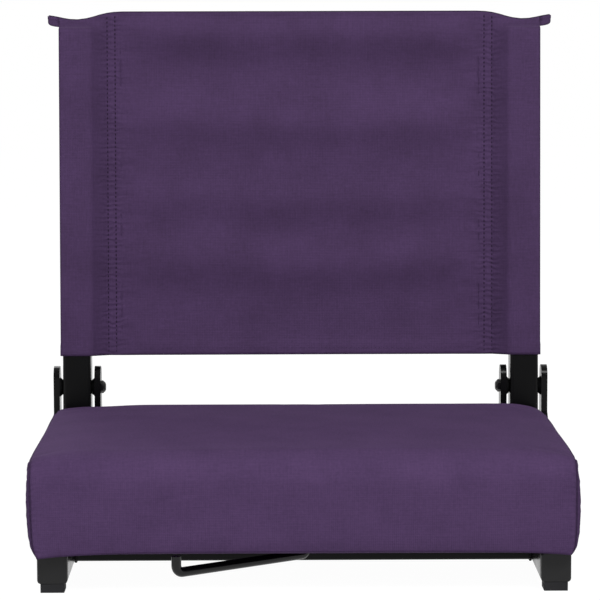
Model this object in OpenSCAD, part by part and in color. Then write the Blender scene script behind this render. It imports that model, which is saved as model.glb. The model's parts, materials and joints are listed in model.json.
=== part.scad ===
// Folding stadium chair: a padded seat on two steel rails, a sling back that folds forward over it,
// and a swivelling bench hook that pulls down out of a spring guide inside the cushion.
// X runs across the chair, +Y points to its back and +Z up. The rubber feet stand on Z = 0.
// Left is the side of negative X, as seen by someone who faces the chair.

/* [Cushion] */
// Width of the cushion over its bulging end panels
seat_width = 438; // [400:1:500]
// Depth of the cushion from front to back
seat_depth = 285; // [260:1:320]
// Height of the cushion from the rails to the middle of its crown
seat_height = 82; // [70:0.5:100]
// Drop of the top from its middle to the back ends of the end seams
crown_across = 10; // [3:0.5:12]
// Drop of the top from its middle to the front and back edges
crown_along = 2; // [1:0.5:5]
// Bulge of each end panel past its seam
end_bulge = 5; // [1:0.5:7]
// Bulge of the front face past its top and bottom edges
front_bulge = 1.5; // [0.5:0.5:3]
// Radius of the top front edge
front_edge_radius = 18; // [12:1:24]
// Radius of the top back edge
back_edge_radius = 14; // [10:1:20]
// Radius of the two bottom edges
bottom_edge_radius = 8; // [5:1:12]
// Thickness of the woven cover
cover_thickness = 1.2; // [0.8:0.1:2]
// Thickness of the plywood seat board
board_thickness = 10; // [8:0.5:15]

/* [Rails and cross tubes] */
// Width and height of the square rail tube
rail_tube = 24; // [20:0.5:30]
// Wall of the rail tube
rail_wall = 1.6; // [1.2:0.1:2.5]
// Corner radius of the square tubes
tube_corner = 3; // [2:0.5:4]
// Distance from the side of the cushion to the middle of a rail
rail_inset = 19; // [16:0.5:40]
// Distance from the front of the cushion to the front of the end caps
rail_setback = 13.5; // [8:0.5:30]
// Length of rail tube behind the back pivot
rail_tail = 47.5; // [45:0.5:80]
// Distance from the front of the cushion to the front cross tube
front_tube_setback = 100; // [90:1:130]
// Distance from the back of the cushion to the rear cross tube
rear_tube_setback = 20; // [10:1:60]

/* [Feet] */
// Visible depth of an end cap's head
cap_head = 9.5; // [6:0.5:14]
// Length of the end cap's plug inside the tube
cap_plug = 16; // [10:1:30]
// Height of the rubber foot under an end cap
foot_height = 7; // [6:0.5:12]
// Width of the rubber foot
foot_width = 19; // [15:0.5:20]
// Depth of the rubber foot
foot_depth = 20; // [12:0.5:26]
// Diameter of the peg that holds the foot
peg_diameter = 5; // [4:0.5:6]
// Length of the peg inside the cap
peg_length = 6; // [4:0.5:8]
// Distance from the face of the end cap to the middle of the peg
peg_setback = 6; // [4.5:0.5:6.5]

/* [Back] */
// Width of the square upright tube
post_tube = 25; // [22:0.5:30]
// Wall of the upright tube
post_wall = 1.6; // [1.2:0.1:2.5]
// Height of the pivot over the crown of the cushion
pivot_over_seat = 8.5; // [7:0.5:20]
// Distance from the back of the cushion to the pivot
pivot_behind_seat = 30.5; // [28:0.5:40]
// Angle that the back leans rearwards in use
lean = 4; // [2:0.5:8]
// Distance along the upright from the pivot to the bottom hem
hem_above_pivot = 28.5; // [26:0.5:50]
// Height of the fabric back from hem to top seam
panel_height = 306.5; // [260:0.5:360]
// Gap between the bottom of the upright and the foot of its bracket
post_tail_gap = 28.5; // [24:0.5:36]
// Thickness of the plug head at each end of an upright
plug_head = 2; // [1.5:0.5:4]

/* [Fabric back] */
// Thickness of the back fabric
fabric = 1.4; // [1:0.1:2]
// Play of the fabric sleeve around the upright
sleeve_play = 0.4; // [0.3:0.1:1]
// Width of a sleeve from its outer edge to the first stitch row
sleeve_width = 43.3; // [40:0.1:50]
// Distance between the two stitch rows of a sleeve
stitch_gap = 6.8; // [4:0.1:10]
// Height of the flat closed end of a sleeve above the upright
ear_height = 15; // [12:1:20]
// How far the closed corner of a sleeve sticks out sideways
ear_reach = 10.2; // [5:0.1:12]
// Depth of the soft horizontal folds across the panel
fold_depth = 1.6; // [0.5:0.1:3]
// Distance between two folds
fold_pitch = 52; // [35:1:80]

/* [Pivot brackets] */
// Thickness of the bracket plates
plate = 5.5; // [4:0.5:6]
// Height of the top of the bracket plates above the pivot
plate_top = 19; // [16:0.5:22]
// Depth of the bracket plates around the pivot, front to back
plate_depth = 20; // [19:0.5:26]
// Thickness of the cone spacer between a plate and the upright
spacer = 2.9; // [2:0.1:4]
// Diameter of the spacer at the plate
spacer_wide = 17.5; // [13:0.5:18]
// Diameter of the spacer at the upright
spacer_narrow = 12; // [9:0.5:13]
// Side play of the upright between its spacers
side_play = 0.1; // [0.05:0.05:0.2]
// How far the foot of the bracket reaches ahead of the pivot
bracket_front = 26; // [24:0.5:28]
// How far the foot of the bracket reaches behind the pivot
bracket_rear = 34; // [26:1:42]
// Distance along the upright from the pivot down to the top of the stop web
stop_top = 30; // [26:1:36]

/* [Bench hook] */
// Diameter of the hook's rod
rod = 8; // [6:0.5:9]
// Distance of the hook's shank from the middle of the chair
hook_offset = 3; // [-10:1:10]
// Distance in plan from the shank to the upturned tip
hook_reach = 128; // [90:1:140]
// Angle that the stowed arm stands forward of the cross tube
stow_angle = 35; // [20:0.5:45]
// Height of the middle of the arm above the underside of the rails
arm_height = 7; // [5:0.5:8]
// Bend radius at the middle of the rod
bend_radius = 6; // [5.5:0.5:10]
// Gap under the cushion above the hook's tip
tip_gap = 3.5; // [2:0.5:6]
// Gap between the shank and the front cross tube
shank_gap = 0.5; // [0.3:0.1:2]
// Travel of the hook when it is pulled down
hook_travel = 45; // [30:1:48]
// Wire diameter of the hook's spring
spring_wire = 1.2; // [0.8:0.1:1.4]
// Turns of the hook's spring
spring_turns = 7; // [5:1:8]
// Width of the rim of the guide's flange on the seat board
guide_rim = 6; // [4:0.5:8]

/* [Fasteners] */
// Diameter of the pivot bolts and seat bolts
bolt = 6; // [5:0.5:6]
// Width across the flats of the pivot nut
nut_flats = 10; // [9:0.5:12]
// Height of the pivot nut
nut_height = 4; // [3.5:0.5:6]
// Distance of the seat bolts from the middle of the chair
bolt_spread = 130; // [80:1:160]
// Width of the rim of a tee nut's flange
tee_rim = 6; // [4:0.5:8]

/* [Hidden] */

// Running fit of a shaft, on the radius
run = 0.05;
// Play of a bolt in a clearance hole, on the radius
hole_play = 0.25;
// Play of a part that is pushed in, on the radius or on each side
seat_play = 0.02;
// Smoothness of round parts
round_fn = 64;

// Places along the chair, from the front of the cushion to the back of the rear caps
overall_depth = seat_depth + pivot_behind_seat + rail_tail + cap_head;
seat_front = -overall_depth / 2;
seat_back = seat_front + seat_depth;
cap_front = seat_front + rail_setback;
rail_front = cap_front + cap_head;
pivot_y = seat_back + pivot_behind_seat;
rail_back = pivot_y + rail_tail;
front_tube_y = seat_front + front_tube_setback;
rear_tube_y = seat_back - rear_tube_setback - rail_tube;
bolt_rows = [front_tube_y + rail_tube / 2, rear_tube_y + rail_tube / 2];

// Heights
rail_top = foot_height + rail_tube;
crown_top = rail_top + seat_height;
board_bottom = rail_top + cover_thickness;
board_top = board_bottom + board_thickness;
pivot_z = crown_top + pivot_over_seat;

// Places across the chair
rail_x = seat_width / 2 - rail_inset;
plate_gap = post_tube + 2 * (spacer + side_play);
bracket_width = plate_gap + 2 * plate;

// Seat board inside the cover
board_width = seat_width - 2 * (end_bulge + 1.5 * bottom_edge_radius);
board_depth = seat_depth - 2 * (bottom_edge_radius + front_bulge);

// Upright, measured along itself from the pivot
post_tail = pivot_z - rail_top - plate - post_tail_gap;
panel_top = hem_above_pivot + panel_height;
post_top = panel_top - ear_height - plug_head - sleeve_play - fabric;
sleeve_half = post_tube / 2 + sleeve_play + fabric;
bush_outer = bolt + 3;

// Hook and its guide
hook_y = front_tube_y - shank_gap - rod / 2;
arm_z = foot_height + arm_height;
tip_top = rail_top - tip_gap;
guide_bore = rod + 4.8;
guide_tube = guide_bore + 3.2;
guide_floor = 2.8;
spring_floor = board_bottom + guide_floor;
spring_solid = (spring_turns + 1) * spring_wire;
washer_z = spring_floor + spring_solid + hook_travel;
washer_height = 1;
clip_height = 1;
clip_gap = 0.1;
rod_end = 2;
shank_top = washer_z + washer_height + clip_gap + clip_height + rod_end;
guide_top = shank_top + 1.5;
flange_width = guide_tube + 2 * guide_rim;
flange_height = 2;

// Seat bolt heads and tee nuts
head_diameter = 1.8 * bolt;
head_height = 0.5 * bolt;
head_top = rail_top - rail_wall;
tee_barrel = bolt + 2;
tee_flange = bolt + 2 * tee_rim;
tee_flange_height = 1.2;

STEEL = [0.06, 0.06, 0.065];
PLASTIC = [0.17, 0.17, 0.17];
RUBBER = [0.14, 0.14, 0.14];
ZINC = [0.62, 0.63, 0.65];
PLYWOOD = [0.74, 0.60, 0.42];
FOAM = [0.90, 0.86, 0.70];
PURPLE = [0.30, 0.22, 0.35];

// Shapes that repeat

// Square with round corners, centred
module rounded_square(width, depth, radius) {
    square([width - 2 * radius, depth], center = true);
    square([width, depth - 2 * radius], center = true);
    for (x = [-1, 1], y = [-1, 1])
        translate([x * (width / 2 - radius), y * (depth / 2 - radius)])
            circle(r = radius, $fn = round_fn);
}

// Square tube along Z from 0 to length
module square_tube(size, wall, length) {
    linear_extrude(height = length)
        difference() {
            rounded_square(size, size, tube_corner);
            rounded_square(size - 2 * wall, size - 2 * wall, tube_corner - wall);
        }
}

// Turns something built along Z so that it runs along +Y
module along_y() {
    rotate([-90, 0, 0])
        children();
}

// Puts something built around an upright's pivot in its place, leaning back
module on_pivot(side) {
    translate([side * rail_x, pivot_y, pivot_z])
        rotate([-lean, 0, 0])
            children();
}

// Rod along X through the middle of a part, centred
module cross_rod(diameter, length) {
    rotate([0, 90, 0])
        cylinder(d = diameter, h = length, center = true, $fn = round_fn);
}

// Closed skin over a stack of rings that all have the same number of points
module skin(rings) {
    count = len(rings[0]);
    last = len(rings) - 1;
    points = [for (ring = rings) for (point = ring) point];
    sides = [
        for (i = [0:last - 1])
            for (j = [0:count - 1])
                let (a = i * count + j, b = i * count + (j + 1) % count)
                    for (face = [[a, b, b + count], [a, b + count, a + count]])
                        face
    ];
    half = count / 2;
    strip = function (start, flip) [
        for (j = [0:half - 2])
            let (
                a = start + j,
                b = start + j + 1,
                c = start + count - 2 - j,
                d = start + count - 1 - j
            )
                for (face = flip ? [[a, c, b], [a, d, c]] : [[a, b, c], [a, c, d]])
                    face
    ];
    polyhedron(points, concat(sides, strip(0, true), strip(last * count, false)), convexity = 6);
}

// Cushion

// Quarter arc of a corner in the cushion's side profile
function corner(y, z, radius, from, steps) = [
    for (i = [0:steps])
        let (angle = from - 90 * i / steps)
            [y + radius * cos(angle), z + radius * sin(angle)]
];

// Height of the cushion's top at a place across and along it
function top_at(x, y, inset) =
    let (
        across = min(1, abs(x) / (seat_width / 2 - end_bulge)),
        along = abs(y - (seat_front + seat_back) / 2) / (seat_depth / 2),
        shoulder = crown_across * (0.65 + 0.35 * (y - seat_front) / seat_depth)
    )
        crown_top - inset - shoulder * pow(across, 14) - crown_along * pow(min(1, along), 4);

// Side profile at a place across the cushion, as points [y, z] from the bottom front corner
function profile(x, inset) =
    let (
        front = seat_front + front_bulge + inset,
        back = seat_back - inset,
        low = rail_top + inset,
        front_top = top_at(x, front, inset),
        back_top = top_at(x, back, inset),
        rf = front_edge_radius - inset,
        rb = back_edge_radius - inset,
        rl = bottom_edge_radius - inset,
        run_length = back - rb - front - rf
    )
        concat(
            corner(front + rl, low + rl, rl, 270, 2),
            [
                for (t = [0.25, 0.5, 0.75])
                    [front - front_bulge * sin(180 * t), low + rl + t * (front_top - rf - low - rl)]
            ],
            corner(front + rf, front_top - rf, rf, 180, 5),
            [
                for (t = [0.15, 0.32, 0.5, 0.68, 0.85])
                    let (y = front + rf + t * run_length)
                        [y, top_at(x, y, inset)]
            ],
            corner(back - rb, back_top - rb, rb, 90, 4),
            corner(back - rl, low + rl, rl, 0, 3)
        );

// Ring of the profile at x, drawn in towards its middle by a share of its size
function profile_ring(x, at, inset, share) =
    let (
        ring = profile(at, inset),
        middle = [(seat_front + seat_back) / 2, (rail_top + crown_top) / 2]
    )
        [for (point = ring) let (q = middle + share * (point - middle)) [x, q[0], q[1]]];

module cushion_form(inset) {
    seam = seat_width / 2 - end_bulge - inset;
    stations = [-1, -0.97, -0.85, -0.55, 0, 0.55, 0.85, 0.97, 1];
    skin(concat(
        [profile_ring(-seam - end_bulge, seam, inset, 0.62)],
        [profile_ring(-seam - 0.6 * end_bulge, seam, inset, 0.88)],
        [for (s = stations) profile_ring(s * seam, s * seam, inset, abs(s) == 1 ? 0.975 : 1)],
        [profile_ring(seam + 0.6 * end_bulge, seam, inset, 0.88)],
        [profile_ring(seam + end_bulge, seam, inset, 0.62)]
    ));
}

// Round pockets that every layer of the cushion leaves open for bolts and hook
module at_seat_bolts() {
    for (x = [-bolt_spread, bolt_spread], y = bolt_rows)
        translate([x, y, 0])
            children();
}

module seat_cover() {
    color(PURPLE)
        difference() {
            cushion_form(0);
            cushion_form(cover_thickness);
            at_seat_bolts()
                translate([0, 0, rail_top - 1])
                    cylinder(d = bolt + 2 * hole_play, h = cover_thickness + 2, $fn = round_fn);
            translate([hook_offset, hook_y, rail_top - 1])
                cylinder(d = rod + 2, h = cover_thickness + 2, $fn = round_fn);
        }
}

module seat_foam() {
    color(FOAM)
        difference() {
            cushion_form(cover_thickness);
            translate([-seat_width, -seat_depth, rail_top - 1])
                cube([2 * seat_width, 2 * seat_depth, board_top - rail_top + 1]);
            at_seat_bolts()
                translate([0, 0, board_top - 1])
                    cylinder(d = tee_flange + 1, h = tee_flange_height + 3, $fn = round_fn);
            translate([hook_offset, hook_y, board_top - 1]) {
                cylinder(d = flange_width + 1, h = flange_height + 1.5, $fn = round_fn);
                cylinder(d = guide_tube + 1, h = guide_top - board_top + 2, $fn = round_fn);
            }
        }
}

module seat_board() {
    color(PLYWOOD)
        difference() {
            translate([0, (seat_front + seat_back) / 2, board_bottom])
                linear_extrude(height = board_thickness)
                    rounded_square(board_width, board_depth, 2 * bottom_edge_radius);
            at_seat_bolts()
                translate([0, 0, board_bottom - 1])
                    cylinder(d = tee_barrel + 2 * seat_play, h = board_thickness + 2, $fn = round_fn);
            translate([hook_offset, hook_y, board_bottom - 1])
                cylinder(d = guide_tube + 2 * seat_play, h = board_thickness + 2, $fn = round_fn);
        }
}

module tee_nuts() {
    color(ZINC)
        at_seat_bolts()
            difference() {
                union() {
                    translate([0, 0, board_bottom])
                        cylinder(d = tee_barrel, h = board_thickness, $fn = round_fn);
                    translate([0, 0, board_top])
                        cylinder(d = tee_flange, h = tee_flange_height, $fn = round_fn);
                }
                translate([0, 0, board_bottom - 1])
                    cylinder(d = bolt + 2 * seat_play, h = board_thickness + 4, $fn = round_fn);
            }
}

// Button-head bolts under the upper wall of the cross tubes, reached through holes in the lower wall
module seat_bolts() {
    color(STEEL)
        at_seat_bolts()
            difference() {
                union() {
                    translate([0, 0, head_top - head_height])
                        cylinder(
                            d1 = head_diameter - head_height,
                            d2 = head_diameter,
                            h = head_height,
                            $fn = round_fn
                        );
                    translate([0, 0, head_top])
                        cylinder(d = bolt, h = board_top - head_top, $fn = round_fn);
                }
                translate([0, 0, head_top - head_height - 1])
                    cylinder(d = 4.6, h = 0.7 * head_height + 1, $fn = 6);
            }
}

// Base frame

module side_rail(side) {
    color(STEEL)
        translate([side * rail_x, rail_front, foot_height + rail_tube / 2])
            along_y()
                square_tube(rail_tube, rail_wall, rail_back - rail_front);
}

module cross_tube(front) {
    length = 2 * rail_x - rail_tube;
    color(STEEL)
        difference() {
            translate([-length / 2, front + rail_tube / 2, foot_height + rail_tube / 2])
                rotate([0, 90, 0])
                    square_tube(rail_tube, rail_wall, length);
            at_seat_bolts() {
                cylinder(d = bolt + 2 * hole_play, h = rail_top + 1, $fn = round_fn);
                cylinder(d = head_diameter + 2, h = foot_height + rail_wall + 1, $fn = round_fn);
            }
        }
}

// Moulded end cap: a square head with soft edges and a ribbed plug, built along +Y from its face
module end_cap() {
    inner = rail_tube - 2 * rail_wall - 2 * seat_play;
    edge = 1.2;
    rib = 1.5;
    corner_offset = rail_tube / 2 - tube_corner;
    steps = [[0, edge], [0.3 * edge, 0.3 * edge], [edge, 0]];
    color(PLASTIC)
        difference() {
            union() {
                along_y()
                    hull()
                        for (x = [-1, 1], y = [-1, 1], step = steps)
                            translate([x * corner_offset, y * corner_offset, step[0]])
                                cylinder(r = tube_corner - step[1], h = cap_head - step[0], $fn = 32);
                translate([0, cap_head, 0])
                    along_y()
                        linear_extrude(height = cap_plug)
                            rounded_square(inner - 2 * rib, inner - 2 * rib, 1);
                for (y = [0.3, 0.65, 1])
                    translate([0, cap_head + y * cap_plug - rib, 0])
                        along_y()
                            linear_extrude(height = rib)
                                rounded_square(inner, inner, tube_corner - rail_wall);
            }
            translate([0, peg_setback, -rail_tube / 2 - 1])
                cylinder(d = peg_diameter + 2 * seat_play, h = peg_length + 1.2, $fn = round_fn);
        }
}

module front_cap(side) {
    translate([side * rail_x, cap_front, foot_height + rail_tube / 2])
        end_cap();
}

module rear_cap(side) {
    translate([side * rail_x, rail_back + cap_head, foot_height + rail_tube / 2])
        mirror([0, 1, 0])
            end_cap();
}

// Rubber foot under an end cap, with its peg
module foot() {
    color(RUBBER) {
        translate([0, foot_depth / 2 + 0.5, 0])
            linear_extrude(height = foot_height)
                rounded_square(foot_width, foot_depth, 1);
        translate([0, peg_setback, foot_height - 1])
            cylinder(d = peg_diameter, h = peg_length + 1, $fn = round_fn);
    }
}

module front_foot(side) {
    translate([side * rail_x, cap_front, 0])
        foot();
}

module rear_foot(side) {
    translate([side * rail_x, rail_back + cap_head, 0])
        mirror([0, 1, 0])
            foot();
}

// Pivot brackets

// Side profile of a bracket plate, as points [y, z] from the pivot
module plate_profile() {
    foot_z = rail_top - pivot_z;
    round_top = plate_depth / 2;
    neck = -(stop_top - 8);
    web_front = post_tube / 2 + side_play + plate + stop_top * sin(lean) + 1.2;
    translate([0, plate_top - round_top])
        circle(r = round_top, $fn = round_fn * 2);
    polygon([
        [-round_top, plate_top - round_top],
        [-round_top, neck],
        [-web_front, -stop_top],
        [-bracket_front, foot_z],
        [bracket_rear, foot_z],
        [round_top, neck],
        [round_top, plate_top - round_top]
    ]);
}

module bracket(side) {
    inner = plate_gap / 2;
    foot_z = rail_top - pivot_z;
    color(STEEL)
        difference() {
            union() {
                translate([side * rail_x, pivot_y, pivot_z]) {
                    for (x = [-inner - plate, inner])
                        translate([x, 0, 0])
                            rotate([90, 0, 90])
                                linear_extrude(height = plate)
                                    plate_profile();
                    translate([-inner - 0.5, -bracket_front, foot_z])
                        cube([plate_gap + 1, bracket_front + bracket_rear, plate]);
                }
                difference() {
                    on_pivot(side)
                        translate([-inner - 0.5, -post_tube / 2 - side_play - plate, -(pivot_z - rail_top)])
                            cube([plate_gap + 1, plate, pivot_z - rail_top - stop_top]);
                    translate([side * rail_x, pivot_y, rail_top - 2 * plate_depth])
                        translate([-inner - 1, -3 * bracket_front, 0])
                            cube([plate_gap + 2, 6 * bracket_front, 2 * plate_depth]);
                }
            }
            translate([side * rail_x, pivot_y, pivot_z]) {
                cross_rod(bolt + 2 * run, bracket_width + 2);
                translate([side * (bracket_width / 2 - bolt / 2), 0, 0])
                    rotate([0, side * 90, 0])
                        cylinder(d1 = bolt, d2 = 2 * bolt + 0.2, h = bolt / 2 + 0.1, $fn = round_fn);
            }
        }
}

// Countersunk bolt from the outer plate to past the nut
module pivot_bolt(side) {
    color(STEEL)
        translate([side * rail_x, pivot_y, pivot_z])
            rotate([0, side * 90, 0])
                difference() {
                    union() {
                        translate([0, 0, -bracket_width / 2 - nut_height - 0.3])
                            cylinder(d = bolt, h = bracket_width + nut_height + 0.3 - 0.2, $fn = round_fn);
                        translate([0, 0, bracket_width / 2 - bolt / 2])
                            cylinder(
                                d1 = bolt - 0.1,
                                d2 = 2 * bolt - 0.5,
                                h = bolt / 2 - 0.2,
                                $fn = round_fn
                            );
                    }
                    translate([0, 0, bracket_width / 2 - 2.4])
                        cylinder(d = 4.6, h = 3, $fn = 6);
                }
}

// Lock nut on the inner plate: a hexagon that turns into a rounded collar
module pivot_nut(side) {
    corners = nut_flats / cos(30);
    collar = 0.3 * nut_height;
    color(STEEL)
        translate([side * (rail_x - bracket_width / 2), pivot_y, pivot_z])
            rotate([0, -side * 90, 0])
                difference() {
                    intersection() {
                        cylinder(d = corners, h = nut_height, $fn = 6);
                        rotate_extrude($fn = round_fn)
                            polygon([
                                [0, 0],
                                [nut_flats / 2, 0],
                                [corners / 2, 0.08 * nut_height],
                                [corners / 2, nut_height - 1.8 * collar],
                                [nut_flats / 2 - 0.3, nut_height - collar],
                                [nut_flats / 2 - 0.8, nut_height - 0.35 * collar],
                                [nut_flats / 2 - 1.7, nut_height],
                                [0, nut_height]
                            ]);
                    }
                    translate([0, 0, -1])
                        cylinder(d = bolt + 2 * seat_play, h = nut_height + 2, $fn = round_fn);
                }
}

// The two cone spacers of one pivot, wide at the plate and narrow at the upright
module pivot_spacers(side) {
    color(PLASTIC)
        translate([side * rail_x, pivot_y, pivot_z])
            for (turn = [-90, 90])
                rotate([0, turn, 0])
                    translate([0, 0, post_tube / 2 + side_play])
                        difference() {
                            cylinder(d1 = spacer_narrow, d2 = spacer_wide, h = spacer, $fn = round_fn);
                            translate([0, 0, -1])
                                cylinder(d = bolt + 2 * run, h = spacer + 2, $fn = round_fn);
                        }
}

// Back, built around each pivot and leaning back

module upright(side) {
    color(STEEL)
        on_pivot(side)
            difference() {
                translate([0, 0, -post_tail])
                    square_tube(post_tube, post_wall, post_tail + post_top);
                cross_rod(bush_outer + 2 * seat_play, post_tube + 2);
            }
}

module pivot_bush(side) {
    color(PLASTIC)
        on_pivot(side)
            difference() {
                cross_rod(bush_outer, post_tube);
                cross_rod(bolt + 2 * run, post_tube + 2);
            }
}

// Square plug with a thin head, built upwards from the end of the tube
module plug() {
    inner = post_tube - 2 * post_wall - 2 * seat_play;
    depth = 12;
    color(PLASTIC) {
        linear_extrude(height = plug_head)
            rounded_square(post_tube, post_tube, tube_corner);
        translate([0, 0, -depth])
            linear_extrude(height = depth)
                rounded_square(inner, inner, tube_corner - post_wall);
    }
}

module top_plug(side) {
    on_pivot(side)
        translate([0, 0, post_top])
            plug();
}

module bottom_plug(side) {
    on_pivot(side)
        translate([0, 0, -post_tail])
            mirror([0, 0, 1])
                plug();
}

// Fabric back: stations across the right half as [x, half thickness, drop of the top seam, ear share]
sleeve_edge = rail_x + sleeve_half;
stitch_outer = sleeve_edge - sleeve_width;
stitch_inner = stitch_outer - stitch_gap;
stations_right = [
    [0, fabric / 2, 0, 0],
    [0.3 * stitch_inner, fabric / 2, 0, 0],
    [0.6 * stitch_inner, fabric / 2, 0, 0],
    [0.85 * stitch_inner, fabric / 2, 0, 0],
    [stitch_inner, fabric, 0.2, 0],
    [stitch_outer, fabric, 0.8, 0],
    [rail_x - sleeve_half, sleeve_half, 4.6, 0],
    [rail_x, sleeve_half + 0.3, 6.8, 0.1],
    [sleeve_edge - 1.6, sleeve_half, 5, 0.7],
    [sleeve_edge, sleeve_half - 1.2, 3.4, 1]
];
half_count = len(stations_right);
mirrored = function (s) [-s[0], s[1], s[2], s[3]];
stations = concat([for (i = [half_count - 1:-1:1]) mirrored(stations_right[i])], stations_right);

// Offset of the panel's folds, which fade out towards the stitch rows
function fold(x, z) =
    let (fade = max(0, 1 - pow(abs(x) / stitch_inner, 2)))
        fold_depth * fade * (sin(360 * z / fold_pitch) + 0.5 * sin(360 * z / (1.7 * fold_pitch) + x / 3));

// Rows up the fabric as [share of the height to the upright's top, share of the closed end, flatness]
fold_rows = 22;
fabric_rows = concat(
    [for (i = [0:fold_rows]) [i / fold_rows, 0, 0]],
    [[1, 0.2, 0.3], [1, 0.5, 0.7], [1, 0.75, 0.93], [1, 1, 1]]
);

// Point of the fabric's front (-1) or back (1) face at a station and row
function fabric_point(station, row, face) =
    let (
        box_top = panel_top - ear_height,
        flat = row[2],
        side = station[0] < 0 ? -1 : 1,
        x = station[0] + side * station[3] * ear_reach * flat,
        top = panel_top - station[2],
        z = hem_above_pivot + row[0] * (box_top - hem_above_pivot) + row[1] * (top - box_top),
        half = station[1] + flat * (fabric - station[1]) * (station[1] > fabric ? 1 : 0)
    )
        [x, face * half + fold(station[0], z - hem_above_pivot), z];

function fabric_ring(row) = concat(
    [for (station = stations) fabric_point(station, row, 1)],
    [for (i = [len(stations) - 1:-1:0]) fabric_point(stations[i], row, -1)]
);

// Hollow of a sleeve around its upright, as rings of [x, y] at heights
module sleeve_hollow(side) {
    reach = post_tube / 2 + sleeve_play;
    above = post_top + plug_head + sleeve_play;
    levels = [
        [hem_above_pivot - 1, 1],
        [above, 1],
        [above + 1.5, 0.55],
        [above + 3.5, 0.2],
        [above + 5, 0.02]
    ];
    inner = side * (stitch_outer + fabric);
    near = side * (rail_x - reach);
    far = side * (rail_x + reach);
    skin([
        for (level = levels)
            let (h = reach * level[1], xs = side > 0 ? [inner, near, far] : [far, near, inner])
                concat(
                    [for (x = xs) [x, x == inner ? 0.1 : h, level[0]]],
                    [for (i = [2:-1:0]) [xs[i], xs[i] == inner ? -0.1 : -h, level[0]]]
                )
    ]);
}

module back_sling() {
    color(PURPLE)
        translate([0, pivot_y, pivot_z])
            rotate([-lean, 0, 0])
                difference() {
                    skin([for (row = fabric_rows) fabric_ring(row)]);
                    for (side = [-1, 1])
                        sleeve_hollow(side);
                }
}

// Bench hook, built around the shank's axis with the arm along -X, then turned to its stowed place
module at_hook() {
    translate([hook_offset, hook_y, 0])
        children();
}

// Quarter bend of the rod in the XZ plane, from the +Z direction at x = 0 to the -X direction
module rod_bend() {
    translate([-bend_radius, 0, bend_radius])
        rotate([90, 0, 0])
            rotate_extrude(angle = -90, $fn = round_fn * 2)
                translate([bend_radius, 0])
                    circle(d = rod, $fn = round_fn);
}

module hook_rod() {
    color(STEEL)
        at_hook()
            rotate([0, 0, stow_angle]) {
                translate([0, 0, arm_z]) {
                    rod_bend();
                    translate([-hook_reach, 0, 0])
                        mirror([1, 0, 0])
                            rod_bend();
                    translate([-hook_reach + bend_radius, 0, 0])
                        rotate([0, 90, 0])
                            cylinder(d = rod, h = hook_reach - 2 * bend_radius, $fn = round_fn);
                }
                translate([0, 0, arm_z + bend_radius])
                    cylinder(d = rod, h = shank_top - arm_z - bend_radius, $fn = round_fn);
                translate([-hook_reach, 0, arm_z + bend_radius])
                    cylinder(d = rod, h = tip_top - arm_z - bend_radius, $fn = round_fn);
            }
}

module hook_guide() {
    color(ZINC)
        at_hook()
            difference() {
                union() {
                    translate([0, 0, board_bottom])
                        cylinder(d = guide_tube, h = guide_top - board_bottom, $fn = round_fn);
                    translate([0, 0, board_top])
                        cylinder(d = flange_width, h = flange_height, $fn = round_fn);
                }
                translate([0, 0, board_bottom - 1])
                    cylinder(d = rod + 2 * run, h = guide_floor + 2, $fn = round_fn);
                translate([0, 0, spring_floor])
                    cylinder(d = guide_bore, h = guide_top, $fn = round_fn);
            }
}

module hook_washer() {
    color(ZINC)
        at_hook()
            translate([0, 0, washer_z])
                difference() {
                    cylinder(d = guide_bore - 0.4, h = washer_height, $fn = round_fn);
                    translate([0, 0, -1])
                        cylinder(d = rod + 2 * run, h = washer_height + 2, $fn = round_fn);
                }
}

module hook_clip() {
    color(ZINC)
        at_hook()
            translate([0, 0, washer_z + washer_height + clip_gap])
                difference() {
                    cylinder(d = rod + 3.4, h = clip_height, $fn = round_fn);
                    translate([0, 0, -1])
                        cylinder(d = rod + 2 * seat_play, h = clip_height + 2, $fn = round_fn);
                }
}

// Ring of the spring's wire at a share of its length
function wire_ring(share) =
    let (
        sides = 6,
        radius = (rod + guide_bore) / 4,
        angle = 360 * spring_turns * share,
        low = spring_floor + spring_wire / 2 + 0.05,
        high = washer_z - spring_wire / 2 - 0.05,
        z = low + share * (high - low)
    )
        [
            for (i = [0:sides - 1])
                let (turn = 360 * i / sides, r = radius + spring_wire / 2 * cos(turn))
                    [r * cos(angle), r * sin(angle), z + spring_wire / 2 * sin(turn)]
        ];

// Middle of the wire at a share of its length
function wire_middle(share) =
    let (ring = wire_ring(share))
        [for (k = [0:2]) (ring[0][k] + ring[3][k]) / 2];

module hook_spring() {
    steps = 10 * spring_turns;
    middles = [for (i = [0:steps]) wire_middle(i / steps)];
    gaps = [for (i = [0:steps - 5]) for (j = [i + 5:steps]) norm(middles[i] - middles[j]) - spring_wire];
    echo(least_gap_between_spring_turns = min(gaps));
    color(ZINC)
        at_hook()
            skin([for (i = [0:steps]) wire_ring(i / steps)]);
}

side_rail(-1);  // side_rail_left
side_rail(1);  // side_rail_right
cross_tube(front_tube_y);  // front_cross_tube
cross_tube(rear_tube_y);  // rear_cross_tube
front_cap(-1);  // front_cap_left
front_cap(1);  // front_cap_right
rear_cap(-1);  // rear_cap_left
rear_cap(1);  // rear_cap_right
front_foot(-1);  // front_foot_left
front_foot(1);  // front_foot_right
rear_foot(-1);  // rear_foot_left
rear_foot(1);  // rear_foot_right
bracket(-1);  // bracket_left
bracket(1);  // bracket_right
pivot_bolt(-1);  // pivot_bolt_left
pivot_bolt(1);  // pivot_bolt_right
pivot_nut(-1);  // pivot_nut_left
pivot_nut(1);  // pivot_nut_right
pivot_spacers(-1);  // pivot_spacers_left
pivot_spacers(1);  // pivot_spacers_right
seat_board();
seat_foam();
seat_cover();
seat_bolts();
tee_nuts();
hook_guide();
hook_spring();
hook_washer();
hook_clip();
hook_rod();
upright(-1);  // upright_left
upright(1);  // upright_right
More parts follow.
